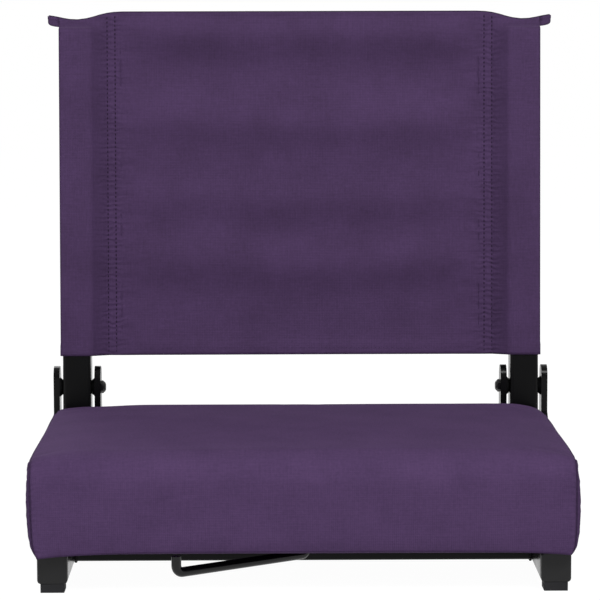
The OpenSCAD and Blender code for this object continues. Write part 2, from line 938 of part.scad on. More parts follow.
pivot_bush(-1);  // pivot_bush_left
pivot_bush(1);  // pivot_bush_right
top_plug(-1);  // top_plug_left
top_plug(1);  // top_plug_right
bottom_plug(-1);  // bottom_plug_left
bottom_plug(1);  // bottom_plug_right
back_sling();
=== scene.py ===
# %% [markdown]
# # A folding stadium chair
#
# This lesson dresses a CAD model of a small folding chair: a padded seat on two steel rails, a fabric
# back that is stretched over two steel uprights, and a bent rod under the seat that grips a bench. The
# CAD model has the true sizes and the joints. Here the soft parts are made again as cloth and padding,
# and everything gets a material.

# %% Load the CAD frame
import json
import math

import bmesh
import bpy
import numpy as np
from mathutils import Matrix, Vector


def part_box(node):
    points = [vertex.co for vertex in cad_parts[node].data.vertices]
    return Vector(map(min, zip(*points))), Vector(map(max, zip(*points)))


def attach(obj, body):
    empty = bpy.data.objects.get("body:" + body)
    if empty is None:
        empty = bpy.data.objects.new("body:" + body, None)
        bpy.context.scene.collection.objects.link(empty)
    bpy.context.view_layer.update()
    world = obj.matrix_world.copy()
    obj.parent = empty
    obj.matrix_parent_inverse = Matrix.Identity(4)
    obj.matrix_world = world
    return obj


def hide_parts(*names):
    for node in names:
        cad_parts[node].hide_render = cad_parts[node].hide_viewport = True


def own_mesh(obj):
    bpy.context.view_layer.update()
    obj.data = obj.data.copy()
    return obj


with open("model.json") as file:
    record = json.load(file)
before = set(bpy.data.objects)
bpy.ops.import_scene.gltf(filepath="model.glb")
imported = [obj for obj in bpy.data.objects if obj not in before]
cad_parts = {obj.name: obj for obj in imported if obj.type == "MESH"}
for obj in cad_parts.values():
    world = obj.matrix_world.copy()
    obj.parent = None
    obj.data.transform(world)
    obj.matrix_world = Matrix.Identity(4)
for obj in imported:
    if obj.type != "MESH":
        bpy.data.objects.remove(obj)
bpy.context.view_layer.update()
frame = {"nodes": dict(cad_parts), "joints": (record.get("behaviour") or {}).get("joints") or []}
nodes = frame["nodes"]
joints = {joint["name"]: joint for joint in frame["joints"]}
scene = bpy.context.scene

# %% [markdown]
# ## Places taken from the frame
#
# Pieces made here must sit on the CAD parts that carry them, so their places are read from the CAD boxes
# and joints instead of being typed in twice. Everything is in metres, with X across the chair, +Y to its
# back and +Z up.

# %% Read the places
MM = 0.001
seat_low, seat_high = (np.array(corner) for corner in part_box("seat_cover"))
seat_front, seat_back = seat_low[1], seat_high[1]
seat_floor, seat_crown = seat_low[2], seat_high[2]
pivot = np.array(joints["back_fold"]["pos_m"])
hook_axis = np.array(joints["hook_swivel"]["pos_m"])
post_x = float(np.mean([corner[0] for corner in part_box("upright_right")]))
LEAN = math.radians(4)  # of the uprights, to the back
print("pivot", pivot.round(4), "posts at", round(post_x, 4), "seat", seat_low.round(4), seat_high.round(4))

# %% [markdown]
# ## Camera
#
# The photograph was taken from far away with a long lens, a little above the seat and almost straight on.
# The long lens keeps the sides of the seat nearly parallel. The place and the tilt come from lining up
# the edges of the rails, the seat and the back with the photograph.

# %% Put the camera in place
SENSOR, LENS = 36, 164.28  # millimetres
pitch, yaw, roll = (math.radians(angle) for angle in (6.41, 0.49, 0.14))
camera_place = (-0.0212, seat_front - 2.1205, 0.473)
camera_data = bpy.data.cameras.new("photo_camera")
camera = bpy.data.objects.new("photo_camera", camera_data)
scene.collection.objects.link(camera)
scene.camera = camera
camera_data.sensor_width = SENSOR
camera_data.lens = LENS
forward = Vector((math.sin(yaw) * math.cos(pitch), math.cos(yaw) * math.cos(pitch), -math.sin(pitch)))
level = Vector((math.cos(yaw), -math.sin(yaw), 0))
upward = level.cross(forward)
across = level * math.cos(roll) - upward * math.sin(roll)
above = level * math.sin(roll) + upward * math.cos(roll)
turn = Matrix((across, above, -forward)).transposed()
camera.matrix_world = Matrix.Translation(camera_place) @ turn.to_4x4()
print("camera", round(seat_front - camera_place[1], 3), "m in front of the seat, lens", LENS, "mm")

# %% [markdown]
# ## A few helpers
#
# Materials are small node trees. One helper adds a node with its settings and its links, and another
# turns a colour written the way that a paint program shows it into the linear colour that the renderer
# wants.


# %% Helpers for materials
def colour(code):
    """Linear colour of an sRGB hex code."""
    parts = [int(code[i : i + 2], 16) / 255 for i in (1, 3, 5)]
    return [p / 12.92 if p <= 0.04045 else ((p + 0.055) / 1.055) ** 2.4 for p in parts] + [1]


def add(tree, kind, inputs=(), **settings):
    """New node of that kind. inputs is {socket: value or output socket}."""
    node = tree.nodes.new(kind)
    for name, value in settings.items():
        setattr(node, name, value)
    for name, value in dict(inputs).items():
        if isinstance(value, bpy.types.NodeSocket):
            tree.links.new(value, node.inputs[name])
        else:
            node.inputs[name].default_value = value
    return node


def start_material(name, code, roughness, **shader):
    """New material with only its Principled shader, and that shader's node."""
    material = bpy.data.materials.new(name)
    material.use_nodes = True
    principled = material.node_tree.nodes["Principled BSDF"]
    principled.inputs["Base Color"].default_value = colour(code)
    principled.inputs["Roughness"].default_value = roughness
    for socket, value in shader.items():
        principled.inputs[socket.replace("_", " ")].default_value = value
    return material, principled


def paint(node_names, material):
    """Gives CAD nodes a material."""
    for name in node_names:
        for slot in nodes[name].material_slots:
            slot.material = material


def mesh_object(name, points, faces, material, smooth=True):
    """Object at the origin, with its place in its mesh."""
    mesh = bpy.data.meshes.new(name)
    mesh.from_pydata([tuple(p) for p in points], [], [tuple(f) for f in faces])
    mesh.validate()
    made = bpy.data.objects.new(name, mesh)
    scene.collection.objects.link(made)
    made.data.materials.append(material)
    if smooth:
        mesh.shade_smooth()
    return made


def join_rows(rows, size, closed=True, flipped=False):
    """Faces between rows of points. closed also joins the last point of a row to its first."""
    faces = []
    for i in range(rows - 1):
        for j in range(size if closed else size - 1):
            a, b = i * size + j, i * size + (j + 1) % size
            faces.append((a, b, b + size, a + size) if flipped else (a, a + size, b + size, b))
    return faces


def points_of(piece):
    """The places of a mesh's points, one to a row."""
    return np.array([vertex.co[:] for vertex in piece.data.vertices])


def set_points(piece, places):
    """Moves a mesh's points to these places."""
    for vertex, place in zip(piece.data.vertices, places):
        vertex.co = place


def bell(distance, width):
    """1 at no distance, and close to 0 from twice the width on."""
    return np.exp(-((distance / width) ** 2))


def apply_modifiers(piece):
    """Replaces an object's mesh by what its modifiers make of it."""
    graph = bpy.context.evaluated_depsgraph_get()
    made = bpy.data.meshes.new_from_object(piece.evaluated_get(graph), depsgraph=graph)
    piece.modifiers.clear()
    piece.data = made


# %% [markdown]
# ## Woven cloth
#
# The cover and the back are a solution-dyed polyester canvas in a plain weave, with threads of about half
# a millimetre. That is finer than a pixel here, so the weave is drawn at 1.5 mm, as fine as shows. The
# eye sees a matte purple with a soft lighter edge where it turns away, from the fuzz on the threads, and
# faint darker and lighter threads both ways. The weave follows the cloth through a UV map that is
# measured in metres. Where two pieces of cloth are sewn together, the turned-in edges lie in shade, and
# that shade is painted into the colour as a darker line along the seam; the tight thread draws the cloth
# into short ripples there. The point attribute seam says where the painted shade goes, and gather where
# the ripples are.


# %% Canvas material
THREAD, RIPPLE = 1.5 * MM, 5.2 * MM
SLUBS, CLOUDS, DRIFTS = 420, 22, 90  # to a metre: thick spots in the yarn, worn patches, bends of the ripples
STREAKS = ((60, 700, 1), (700, 60, 1))  # to a metre along and across, for the threads each way


def canvas(name, code, dark, light):
    """Plain weave on the UV map "cloth". The attribute "seam" paints shade into its colour, darker along the
    seams, and "gather" ripples it.
    """
    material, shader = start_material(
        name, code, 0.9, Specular_IOR_Level=0.05, Sheen_Weight=0.06, Sheen_Roughness=0.3
    )
    shader.inputs["Sheen Tint"].default_value = colour("#d0aee0")
    tree = material.node_tree
    uv = add(tree, "ShaderNodeUVMap", uv_map="cloth")
    split = add(tree, "ShaderNodeSeparateXYZ", {0: uv.outputs[0]})
    waves = []
    for axis in ("X", "Y"):
        across = {0: split.outputs[axis], 1: math.pi / THREAD}
        turns = add(tree, "ShaderNodeMath", across, operation="MULTIPLY")
        waves.append(add(tree, "ShaderNodeMath", {0: turns.outputs[0]}, operation="SINE").outputs[0])
    crossing = add(tree, "ShaderNodeMath", {0: waves[0], 1: waves[1]}, operation="MULTIPLY")
    weave = add(tree, "ShaderNodeMath", {0: crossing.outputs[0]}, operation="ABSOLUTE")
    slub = add(tree, "ShaderNodeTexNoise", {"Vector": uv.outputs[0], "Scale": SLUBS, "Detail": 3})
    slub.inputs["Roughness"].default_value = 0.7
    cloud = add(tree, "ShaderNodeTexNoise", {"Vector": uv.outputs[0], "Scale": CLOUDS, "Detail": 4})
    cloud.inputs["Roughness"].default_value = 0.55
    mixed = add(tree, "ShaderNodeMath", {0: slub.outputs["Fac"], 1: cloud.outputs["Fac"]}, operation="ADD")
    for scale in STREAKS:
        along = add(tree, "ShaderNodeMapping", {"Vector": uv.outputs[0], "Scale": scale})
        streak = add(tree, "ShaderNodeTexNoise", {"Vector": along.outputs[0], "Scale": 1, "Detail": 1})
        half_streak = add(tree, "ShaderNodeMath", {0: streak.outputs["Fac"], 1: 0.5}, operation="MULTIPLY")
        mixed = add(tree, "ShaderNodeMath", {0: mixed.outputs[0], 1: half_streak.outputs[0]}, operation="ADD")
    spread = add(tree, "ShaderNodeMapRange", {"Value": mixed.outputs[0], "From Min": 1.1, "From Max": 1.9})
    shades = {"Factor": spread.outputs[0], "A": colour(dark), "B": colour(light)}
    shade = add(tree, "ShaderNodeMix", shades, data_type="RGBA")
    # painted shade: along the seams the colour is mixed towards a dark purple, standing in for the shade in
    # the groove
    seam = add(tree, "ShaderNodeAttribute", attribute_name="seam")
    seam_shade_mix = {"Factor": seam.outputs["Fac"], "A": shade.outputs["Result"], "B": colour("#1f1626")}
    seam_shaded = add(tree, "ShaderNodeMix", seam_shade_mix, data_type="RGBA")
    tree.links.new(seam_shaded.outputs["Result"], shader.inputs["Base Color"])
    height = add(tree, "ShaderNodeMath", {0: weave.outputs[0], 1: slub.outputs["Fac"]}, operation="ADD")
    bump = add(tree, "ShaderNodeBump", {"Height": height.outputs[0], "Strength": 0.4, "Distance": 0.18 * MM})
    gather = add(tree, "ShaderNodeAttribute", attribute_name="gather")
    drift = add(tree, "ShaderNodeTexNoise", {"Vector": uv.outputs[0], "Scale": DRIFTS, "Detail": 1})
    upward = {0: split.outputs["Y"], 1: 2 * math.pi / RIPPLE}
    turns = add(tree, "ShaderNodeMath", upward, operation="MULTIPLY")
    shift = add(tree, "ShaderNodeMath", {0: drift.outputs["Fac"], 1: 9.0}, operation="MULTIPLY")
    phase = add(tree, "ShaderNodeMath", {0: turns.outputs[0], 1: shift.outputs[0]}, operation="ADD")
    ripple = add(tree, "ShaderNodeMath", {0: phase.outputs[0]}, operation="SINE")
    pulled = {0: ripple.outputs[0], 1: gather.outputs["Fac"]}
    drawn = add(tree, "ShaderNodeMath", pulled, operation="MULTIPLY")
    both = {"Height": drawn.outputs[0], "Distance": 0.3 * MM, "Normal": bump.outputs[0]}
    ripples = add(tree, "ShaderNodeBump", both)
    tree.links.new(ripples.outputs[0], shader.inputs["Normal"])
    return material


seat_canvas = canvas("purple_canvas_seat", "#4d3a5b", "#473555", "#543f63")
back_canvas = canvas("purple_canvas_back", "#493757", "#43324f", "#503c5f")
thread_purple, shader = start_material("sewing_thread", "#271a30", 0.8, Specular_IOR_Level=0.1)
tree = thread_purple.node_tree
place = add(tree, "ShaderNodeTexCoord")
PLIES = 2500  # to a metre
twist = add(tree, "ShaderNodeTexNoise", {"Vector": place.outputs["Object"], "Scale": PLIES})
bump = add(tree, "ShaderNodeBump", {"Height": twist.outputs["Fac"], "Distance": 0.1 * MM})
tree.links.new(bump.outputs[0], shader.inputs["Normal"])

# %% [markdown]
# ## Black powder-coated steel
#
# The tubes and brackets have a gloss black powder coat, baked on over welded steel. Up close it has a
# faint orange-peel ripple about 2 mm wide, so highlights on it are bright but slightly wavy. Where a hand
# or a bench rubs it, it is a little duller. The hook is dipped instead, in a glossier paint that shows
# the lamps as thin lines.


# %% Black paint
PEEL, RUBBED = 480, 35  # to a metre: ripples of the paint, and patches that are rubbed dull
SHINIEST = 0.14  # roughness where nothing rubs it


def black_paint(name, specular, dullest):
    """Black paint on metal, with orange peel. dullest is its roughness where it is rubbed most."""
    material, shader = start_material(name, "#0b0b0c", 0.28, Specular_IOR_Level=specular)
    tree = material.node_tree
    place = add(tree, "ShaderNodeTexCoord")
    peel = add(tree, "ShaderNodeTexNoise", {"Vector": place.outputs["Object"], "Scale": PEEL, "Detail": 2})
    relief = {"Height": peel.outputs["Fac"], "Strength": 0.25, "Distance": 0.12 * MM}
    bump = add(tree, "ShaderNodeBump", relief)
    tree.links.new(bump.outputs[0], shader.inputs["Normal"])
    rub = add(tree, "ShaderNodeTexNoise", {"Vector": place.outputs["Object"], "Scale": RUBBED, "Detail": 5})
    wear = {"Value": rub.outputs["Fac"], "To Min": SHINIEST, "To Max": dullest}
    dull = add(tree, "ShaderNodeMapRange", wear)
    tree.links.new(dull.outputs[0], shader.inputs["Roughness"])
    return material


powder_coat = black_paint("gloss_black_powder_coat", 0.12, 0.3)
dipped_paint = black_paint("dipped_black_paint", 0.3, 0.2)


# %% [markdown]
# ## Moulded plastic, rubber and plated steel
#
# The end caps are moulded polyethylene with a fine spark-eroded grain, matte dark grey. The feet are
# rubber, duller still. The spacers are smooth black nylon. What hides inside the cushion is zinc-plated
# steel, with a cool, slightly cloudy shine, and plywood with long straight grain.


# %% Grainy materials
BROAD = 60  # patches of the lighter colour to a metre


def grainy(name, code, light, roughness, grain, depth, **more):
    """Material with a fine all-over grain of that size and depth in metres, mottled with a lighter colour."""
    material, shader = start_material(name, code, roughness, **more)
    tree = material.node_tree
    place = add(tree, "ShaderNodeTexCoord")
    where = place.outputs["Object"]
    fine = add(tree, "ShaderNodeTexNoise", {"Vector": where, "Scale": 1 / grain, "Detail": 3})
    broad = add(tree, "ShaderNodeTexNoise", {"Vector": where, "Scale": BROAD, "Detail": 4})
    shades = {"Factor": broad.outputs["Fac"], "A": colour(code), "B": colour(light)}
    shade = add(tree, "ShaderNodeMix", shades, data_type="RGBA")
    tree.links.new(shade.outputs["Result"], shader.inputs["Base Color"])
    bump = add(tree, "ShaderNodeBump", {"Height": fine.outputs["Fac"], "Strength": 0.5, "Distance": depth})
    tree.links.new(bump.outputs[0], shader.inputs["Normal"])
    return material


cap_plastic = grainy(
    "moulded_polyethylene", "#131314", "#1c1c1d", 0.45, 0.9 * MM, 0.12 * MM, Specular_IOR_Level=0.3
)
foot_rubber = grainy(
    "moulded_rubber", "#28282a", "#323234", 0.75, 0.7 * MM, 0.1 * MM, Specular_IOR_Level=0.08
)
nylon = grainy("black_nylon", "#131314", "#1a1a1b", 0.35, 1.5 * MM, 0.04 * MM, Specular_IOR_Level=0.2)
black_steel = grainy(
    "black_oxide_steel", "#0e0e0f", "#171718", 0.3, 1.2 * MM, 0.05 * MM, Specular_IOR_Level=0.25
)
zinc = grainy("zinc_plated_steel", "#a9abae", "#c3c5c7", 0.32, 1.2 * MM, 0.04 * MM, Metallic=1.0)

# %% Plywood
PLY_FIGURE = (12, 260, 700)  # to a metre: along the grain, across it, and through the plies
plywood, shader = start_material("birch_plywood", "#c3a173", 0.6)
tree = plywood.node_tree
place = add(tree, "ShaderNodeTexCoord")
lengthways = add(tree, "ShaderNodeMapping", {"Vector": place.outputs["Object"], "Scale": PLY_FIGURE})
figure = add(tree, "ShaderNodeTexNoise", {"Vector": lengthways.outputs[0], "Scale": 1, "Detail": 4})
shades = {"Factor": figure.outputs["Fac"], "A": colour("#a98453"), "B": colour("#dcc094")}
shade = add(tree, "ShaderNodeMix", shades, data_type="RGBA")
tree.links.new(shade.outputs["Result"], shader.inputs["Base Color"])

# %% Paint the CAD parts
STEEL_NODES = [n for n in nodes if n.startswith(("side_rail", "upright", "bracket")) or "cross_tube" in n]
paint(STEEL_NODES, powder_coat)
paint(["hook_rod"], dipped_paint)
paint([n for n in nodes if "_cap_" in n or "_plug_" in n], cap_plastic)
paint([n for n in nodes if "_foot_" in n], foot_rubber)
paint([n for n in nodes if "spacers" in n or "bush" in n], nylon)
paint([n for n in nodes if "pivot_bolt" in n or "pivot_nut" in n] + ["seat_bolts"], black_steel)
paint(["tee_nuts", "hook_guide", "hook_spring", "hook_washer", "hook_clip"], zinc)
paint(["seat_board"], plywood)
print("materials:", sorted(material.name for material in bpy.data.materials if material.users))

# %% [markdown]
# ## The seat cushion
#
# The cover is three pieces of canvas: one strip wraps the top, front, back and underside, and two end
# panels close the sides. Where they are sewn together the seam draws the cloth in, and the foam pushes
# the end panels out beyond it. It could be one rounded box, but then the seams would have to be painted
# on. Here the strip is a row of side profiles from left to right, the end panels are rings that shrink to
# a line, and a cloth simulation with air pressure swells everything between the pinned seams and the flat
# underside.

# %% Side profile of the cushion
FRONT_RADIUS, BACK_RADIUS, LOW_RADIUS = 18 * MM, 14 * MM, 3 * MM
FRONT_STEPS, BACK_STEPS, LOW_STEPS = 8, 6, 4
SIDE_POINTS, TOP_POINTS = 11, 46
SEAM_X = seat_high[0] - 4.2 * MM
SWELL = 0.3 * MM  # left free for the cloth to swell
FREE_FRONT = 12.5 * MM  # the cover is free to hang this far behind its front, before the rails begin


def arc(y, z, radius, start, steps):
    """Points of a quarter turn about (y, z), clockwise from that angle."""
    angles = np.radians(np.linspace(start, start - 90, steps + 1))
    return [(y + radius * math.cos(a), z + radius * math.sin(a)) for a in angles]


def seat_profile():
    """Points (y, z) from the bottom front corner, up the front, over the top and down the back."""
    front, back = seat_front + SWELL, seat_back - SWELL
    top = seat_crown - SWELL
    points = arc(front + LOW_RADIUS, seat_floor + LOW_RADIUS, LOW_RADIUS, 270, LOW_STEPS)
    rise = np.linspace(seat_floor + LOW_RADIUS, top - FRONT_RADIUS, SIDE_POINTS)
    points += [(front, z) for z in rise[1:-1]]
    points += arc(front + FRONT_RADIUS, top - FRONT_RADIUS, FRONT_RADIUS, 180, FRONT_STEPS)
    inner = np.linspace(front + FRONT_RADIUS, back - BACK_RADIUS, TOP_POINTS)
    points += [(y, top) for y in inner[1:-1]]
    points += arc(back - BACK_RADIUS, top - BACK_RADIUS, BACK_RADIUS, 90, BACK_STEPS)
    drop = np.linspace(top - BACK_RADIUS, seat_floor + LOW_RADIUS, SIDE_POINTS)
    points += [(back, z) for z in drop[1:-1]]
    points += arc(back - LOW_RADIUS, seat_floor + LOW_RADIUS, LOW_RADIUS, 0, LOW_STEPS)
    # the underside goes back under the same places as the top, so that the end panels close cleanly
    points += [(back - BACK_RADIUS, seat_floor)]
    points += [(y, seat_floor) for y in inner[-2:0:-1]]
    points += [(front + FRONT_RADIUS, seat_floor), (seat_front + FREE_FRONT, seat_floor)]
    return np.array(points)


profile = seat_profile()
lengths = np.linalg.norm(np.diff(profile, axis=0, append=profile[:1]), axis=1)
distance = np.concatenate([[0], np.cumsum(lengths)[:-1]])
print("side profile:", len(profile), "points,", round(float(lengths.sum()), 4), "m round")


# %% How the top drops and the front edge droops
SOFT, SHARP = 32, 60  # powers: how late the top turns down on its way to an end
SHOULDER, RIGHT_CORNER, LEFT_CORNER = 3.5 * MM, 8.3 * MM, 3.8 * MM
LEFT_STEP = 1.8 * MM  # the left back corner also sinks a little between these two shares of the way
LEFT_FROM, LEFT_TO = 0.66, 0.86
CROWN_ACROSS, CROWN_ALONG = 1.1 * MM, 0.9 * MM
CURL, RIGHT_HANG, LEFT_HANG = 3.0 * MM, 3.2 * MM, 5.0 * MM
DROOP_HEIGHT, DROOP_DEPTH = 32 * MM, 6 * MM


def drop_at(x, y):
    """How far the top lies under its crown. The left back corner is squarer than the right one."""
    across = min(1.0, abs(x) / SEAM_X)
    back_share = (y - seat_front) / (seat_back - seat_front)
    to_back = max(0.0, back_share) ** 2.2
    if x < 0:
        start = float(np.clip((across - LEFT_FROM) / (LEFT_TO - LEFT_FROM), 0, 1))
        at_back = LEFT_STEP * start * start * (3 - 2 * start) + LEFT_CORNER * across**SHARP
    else:
        at_back = RIGHT_CORNER * across**SOFT
    shoulder = (1 - to_back) * SHOULDER * across**SOFT + to_back * at_back
    return shoulder + CROWN_ACROSS * across**2 + CROWN_ALONG * (2 * back_share - 1) ** 2


def droop_at(x, y, z):
    """How far the lower front edge hangs at its ends, or curls up in the middle, below 0."""
    low = max(0.0, 1 - (z - seat_floor) / DROOP_HEIGHT)
    ahead = min(1.0, max(0.0, (seat_front + FREE_FRONT - y) / DROOP_DEPTH))
    hang = RIGHT_HANG * (x / SEAM_X) ** 6 if x > 0 else LEFT_HANG * (-x / SEAM_X) ** 5
    return (hang - CURL) * low * ahead


# %% Rings of the strip and of the end panels
def strip_ring(x):
    """The side profile at a place across the cushion."""
    height = seat_crown - seat_floor
    ring = []
    for y, z in profile:
        share = max(0.0, (z - seat_floor) / height)
        ring.append((x, y, z - drop_at(x, y) * share**1.5 - droop_at(x, y, z)))
    return np.array(ring)


# the size of each ring of an end panel, as a share of the side profile
END_SHARES = [0.988, 0.97, 0.945, 0.91, 0.86, 0.79, 0.71, 0.62, 0.53, 0.44, 0.35, 0.26, 0.17, 0.08, 0.0]
END_STEPS = len(END_SHARES)
BULGE, LOW_BULGE = 3.4 * MM, 0.4  # how far the foam pushes an end out, and the share of it at the floor
BULGE_RISE = 12 * MM
middle_y, middle_z = 0.5 * (seat_front + seat_back), 0.5 * (seat_floor + seat_crown)
reach = 0.5 * (seat_back - seat_front) - 42 * MM  # of the line that an end panel shrinks to, from its middle


def end_ring(side, step):
    """Ring of an end panel, from step 1 near the seam to the last, a line along the middle of the panel."""
    ring = strip_ring(side * SEAM_X)
    share = END_SHARES[step - 1]
    core = ring.copy()
    core[:, 1] = np.clip(ring[:, 1], middle_y - reach, middle_y + reach)
    core[:, 2] = middle_z
    made = core + share * (ring - core)
    low_fade = 1 - (1 - LOW_BULGE) * np.exp(-(made[:, 2] - seat_floor) / BULGE_RISE)
    made[:, 0] = side * (SEAM_X + BULGE * (1 - share**9) ** 0.5 * low_fade)
    return made


# %% Join the rings from left to right
# the rings stand closer together near the seams, where the cloth is drawn in
near_the_seam = np.array([0, 0.9, 2.2, 4.2, 7.2, 11.5, 16.5]) * MM
right_stations = np.concatenate([np.linspace(0, SEAM_X - 22 * MM, 40), (SEAM_X - near_the_seam)[::-1]])
stations = np.concatenate([-right_stations[:0:-1], right_stations])
rings = [end_ring(-1, k) for k in range(END_STEPS, 0, -1)]
rings += [strip_ring(x) for x in stations]
rings += [end_ring(1, k) for k in range(1, END_STEPS + 1)]
count, size = len(rings), len(profile)
seat = mesh_object("seat_cushion", np.concatenate(rings), join_rows(count, size), seat_canvas)

# %% UV map of the cushion, in metres
uv_layer = seat.data.uv_layers.new(name="cloth")
for polygon in seat.data.polygons:
    ring_number = polygon.index // size
    on_end = ring_number < END_STEPS or ring_number >= count - 1 - END_STEPS
    for loop in polygon.loop_indices:
        vertex = seat.data.loops[loop].vertex_index
        x, y, z = seat.data.vertices[vertex].co
        if on_end:
            uv_layer.data[loop].uv = (y, z)
        else:
            j = vertex % size
            wrapped = distance[j]
            if j == 0 and polygon.index % size == size - 1:
                wrapped = float(lengths.sum())
            uv_layer.data[loop].uv = (x, wrapped)

# %% Merge the doubled points at the end lines
work = bmesh.new()
work.from_mesh(seat.data)
bmesh.ops.remove_doubles(work, verts=work.verts, dist=0.05 * MM)
bmesh.ops.recalc_face_normals(work, faces=work.faces)
work.to_mesh(seat.data)
work.free()
print("cushion before the simulation:", len(seat.data.vertices), "points")

# %% [markdown]
# The simulation keeps the seams and the underside where they are, as the thread and the seat board do.
# Only how far it swells matters, so the way that each point goes is capped at little more than a
# millimetre.


# %% Swell the cushion as cloth
SEWN, BOARD_EDGE = 0.4 * MM, 7 * MM  # what is held: this close to a seam, or this low
SWELL_CAP = 1.4 * MM
CANVAS_CLOTH = {
    "quality": 6,
    "mass": 0.3,
    "tension_stiffness": 30,
    "compression_stiffness": 10,
    "bending_stiffness": 0.6,
}


def swell(piece, cap, pressure=4.0, frames=20):
    """Runs a cloth simulation with air pressure and keeps its result in the mesh."""
    start = points_of(piece)
    held = piece.vertex_groups.new(name="held")
    for vertex in piece.data.vertices:
        near_seam = abs(abs(vertex.co[0]) - SEAM_X) < SEWN
        if near_seam or vertex.co[2] < seat_floor + BOARD_EDGE:
            held.add([vertex.index], 1.0, "REPLACE")
    cloth = piece.modifiers.new("cloth", "CLOTH")
    for setting, value in CANVAS_CLOTH.items():
        setattr(cloth.settings, setting, value)
    cloth.settings.use_pressure = True
    cloth.settings.uniform_pressure_force = pressure
    cloth.settings.vertex_group_mass = "held"
    cloth.settings.effector_weights.gravity = 0
    cloth.point_cache.frame_start = 1
    cloth.point_cache.frame_end = frames
    for number in range(1, frames + 1):
        scene.frame_set(number)
    apply_modifiers(piece)
    scene.frame_set(1)
    way = points_of(piece) - start
    far = np.linalg.norm(way, axis=1, keepdims=True)
    way *= np.minimum(1, cap / np.maximum(far, 1e-9))
    set_points(piece, start + way)
    piece.vertex_groups.clear()
    print(piece.name, "swelled by up to", round(float(far.max()) / MM, 2), "mm, capped at", cap / MM, "mm")


swell(seat, SWELL_CAP)

# %% [markdown]
# The needle pulls the cloth in along the seam, and it gathers there in short puckers that fade out over
# about a centimetre. They are pushed into the mesh along its normals, after one subdivision has made it
# fine enough.

# %% Seam groove and puckers
PUCKERS = ((1, 8.3, 1.3), (0.8, 13.1, 2.1), (0.6, 5.7, 0))  # share, pitch in millimetres, shift at the ends
PUCKER, WAVE = 0.12 * MM, 0.35 * MM
smooth = seat.modifiers.new("smooth", "SUBSURF")
smooth.levels = smooth.render_levels = 1
apply_modifiers(seat)
normals = np.array([v.normal[:] for v in seat.data.vertices])
places = points_of(seat)
gap = np.abs(np.abs(places[:, 0]) - SEAM_X)
side = np.sign(places[:, 0])
# a place along the seam: its depth on the top and the underside, and its height on the front and the back
round_seam = np.where(np.abs(normals[:, 2]) > 0.7, places[:, 1], places[:, 2] + 0.5 * side)
pucker = 0
for share, pitch, shift in PUCKERS:
    pucker = pucker + share * np.sin(round_seam / (pitch * MM) * 2 * math.pi + shift * side)
above_floor = np.clip((places[:, 2] - seat_floor) / (6 * MM), 0, 1)
groove = -1.4 * MM * bell(gap, 0.9 * MM) - 0.5 * MM * bell(gap, 3 * MM)
gather = PUCKER * pucker * bell(gap, 8 * MM) * (1 - bell(gap, 1.6 * MM))
# a slack cloth on foam has a few wide shallow waves
wave = WAVE * (
    np.sin(places[:, 0] / 0.061 + 1.7 * np.sin(places[:, 1] / 0.047))
    * np.sin(places[:, 1] / 0.052 + places[:, 2] / 0.033 + 0.8)
)
moved = places + normals * ((groove + gather + wave) * above_floor)[:, None]

# %% Tuck the lower edges in and stretch the left end out
TUCK, TUCK_HEIGHT = 2.2 * MM, 45 * MM
LIP, LIP_HEIGHT = 2.0 * MM, 9 * MM
LOW_STRETCH, HIGH_STRETCH = 0.5 * MM, 1.9 * MM
END_REACH = 30 * MM


def tuck_at(z):
    """How far the lower edge of an end is drawn in under the foam."""
    tuck = TUCK * np.clip(1 - (z - seat_floor) / TUCK_HEIGHT, 0, 1) ** 4
    return tuck + LIP * np.clip(1 - (z - seat_floor) / LIP_HEIGHT, 0, 1) ** 2


def stretch_at(x, z):
    """How far the left end stands further out than the right one, most at its top."""
    height = np.clip((z - seat_floor) / (seat_crown - seat_floor), 0, 1)
    return (LOW_STRETCH + (HIGH_STRETCH - LOW_STRETCH) * height) * np.clip(-x / SEAM_X, 0, 1) ** 3


at_end = np.clip((np.abs(moved[:, 0]) - (SEAM_X - END_REACH)) / END_REACH, 0, 1) ** 2
moved[:, 0] -= side * tuck_at(moved[:, 2]) * at_end + stretch_at(moved[:, 0], moved[:, 2])
set_points(seat, moved)
print("cushion:", len(seat.data.vertices), "points")

# %% [markdown]
# The hook's shank goes up through a small hole in the underside, into a pocket that the foam leaves for
# its guide. A lathe shape cuts both.


# %% Hole and pocket for the hook
def lathe(name, outline, centre, material, segments=32):
    """Closed shape turned about a vertical axis through centre. outline is (radius, z) from the bottom up."""
    ring_points = []
    for radius, z in outline:
        for k in range(segments):
            angle = 2 * math.pi * k / segments
            x, y = centre[0] + radius * math.cos(angle), centre[1] + radius * math.sin(angle)
            ring_points.append((x, y, z))
    ring_faces = join_rows(len(outline), segments, flipped=True)
    ring_faces.append(tuple(range(segments - 1, -1, -1)))
    top = (len(outline) - 1) * segments
    ring_faces.append(tuple(range(top, top + segments)))
    return mesh_object(name, ring_points, ring_faces, material)


guide_low, guide_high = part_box("hook_guide")
guide_radius = 0.5 * 16.5 * MM
HOLE_RADIUS = 5 * MM
FLANGE_RADIUS, FLANGE_TOP = guide_radius + 6.5 * MM, guide_low[2] + 14 * MM
TUBE_RADIUS, POCKET_TOP = guide_radius + 0.5 * MM, guide_high[2] + 3.2 * MM  # room for the foam to be pressed
pocket_floor = guide_low[2] - 0.3 * MM
pocket_outline = [
    (HOLE_RADIUS, seat_floor - 2 * MM),
    (HOLE_RADIUS, pocket_floor),
    (FLANGE_RADIUS, pocket_floor),
    (FLANGE_RADIUS, FLANGE_TOP),
    (TUBE_RADIUS, FLANGE_TOP),
    (TUBE_RADIUS, POCKET_TOP),
]
pocket = lathe("pocket_cutter", pocket_outline, hook_axis, seat_canvas)
cut = seat.modifiers.new("pocket", "BOOLEAN")
cut.operation = "DIFFERENCE"
cut.solver = "EXACT"
cut.object = pocket
apply_modifiers(seat)
bpy.data.objects.remove(pocket)
print("cushion with its pocket:", len(seat.data.vertices), "points")
